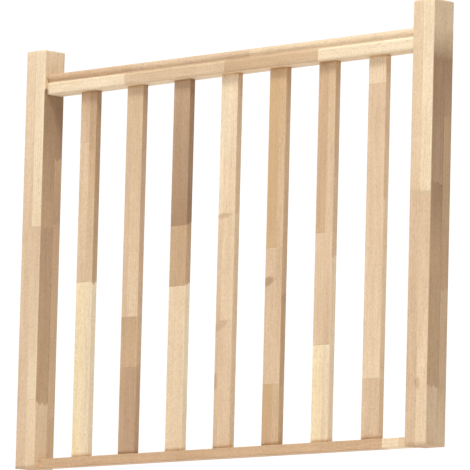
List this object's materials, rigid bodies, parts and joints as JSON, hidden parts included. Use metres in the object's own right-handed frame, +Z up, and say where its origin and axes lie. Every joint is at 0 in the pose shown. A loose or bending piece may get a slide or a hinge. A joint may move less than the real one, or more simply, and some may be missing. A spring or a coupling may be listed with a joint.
{
  "type": "wooden safety guard panel",
  "caption": "Fixed timber safety guard: square posts carry a moulded handrail, a thin bottom rail and upright flat slats that keep a small child from a stair or drop.",
  "frame": {"origin": "on the floor, under the middle of the guard, midway through the posts' depth", "axes": "+X along the guard from its left post to its right post, +Y from the front to the back, +Z up"},
  "size_m": [1.24, 0.06, 0.925],
  "materials": {
    "post_timber": "planed and sanded, unfinished, finger-jointed staves",
    "handrail_timber": "moulded and sanded, unfinished, finger-jointed staves",
    "bottom_rail_timber": "planed and sanded, unfinished",
    "slat_timber": "planed and sanded, unfinished, finger-jointed lengths",
    "dowel_beech": "fluted beech dowel",
    "zinc_screw": "zinc plated"
  },
  "bodies": {
    "root": {"bottom_rail": "bottom_rail_timber", "bottom_rail_left_dowels": "dowel_beech", "bottom_rail_right_dowels": "dowel_beech", "handrail": "handrail_timber", "handrail_left_dowel_screw": "zinc_screw", "handrail_left_dowels": "dowel_beech", "handrail_right_dowel_screw": "zinc_screw", "handrail_right_dowels": "dowel_beech", "left_post": "post_timber", "right_post": "post_timber", "slat_1": "slat_timber", "slat_1_dowels": "dowel_beech", "slat_1_screws": "zinc_screw", "slat_2": "slat_timber", "slat_2_dowels": "dowel_beech", "slat_2_screws": "zinc_screw", "slat_3": "slat_timber", "slat_3_dowels": "dowel_beech", "slat_3_screws": "zinc_screw", "slat_4": "slat_timber", "slat_4_dowels": "dowel_beech", "slat_4_screws": "zinc_screw", "slat_5": "slat_timber", "slat_5_dowels": "dowel_beech", "slat_5_screws": "zinc_screw", "slat_6": "slat_timber", "slat_6_dowels": "dowel_beech", "slat_6_screws": "zinc_screw", "slat_7": "slat_timber", "slat_7_dowels": "dowel_beech", "slat_7_screws": "zinc_screw"}
  },
  "joints": []
}
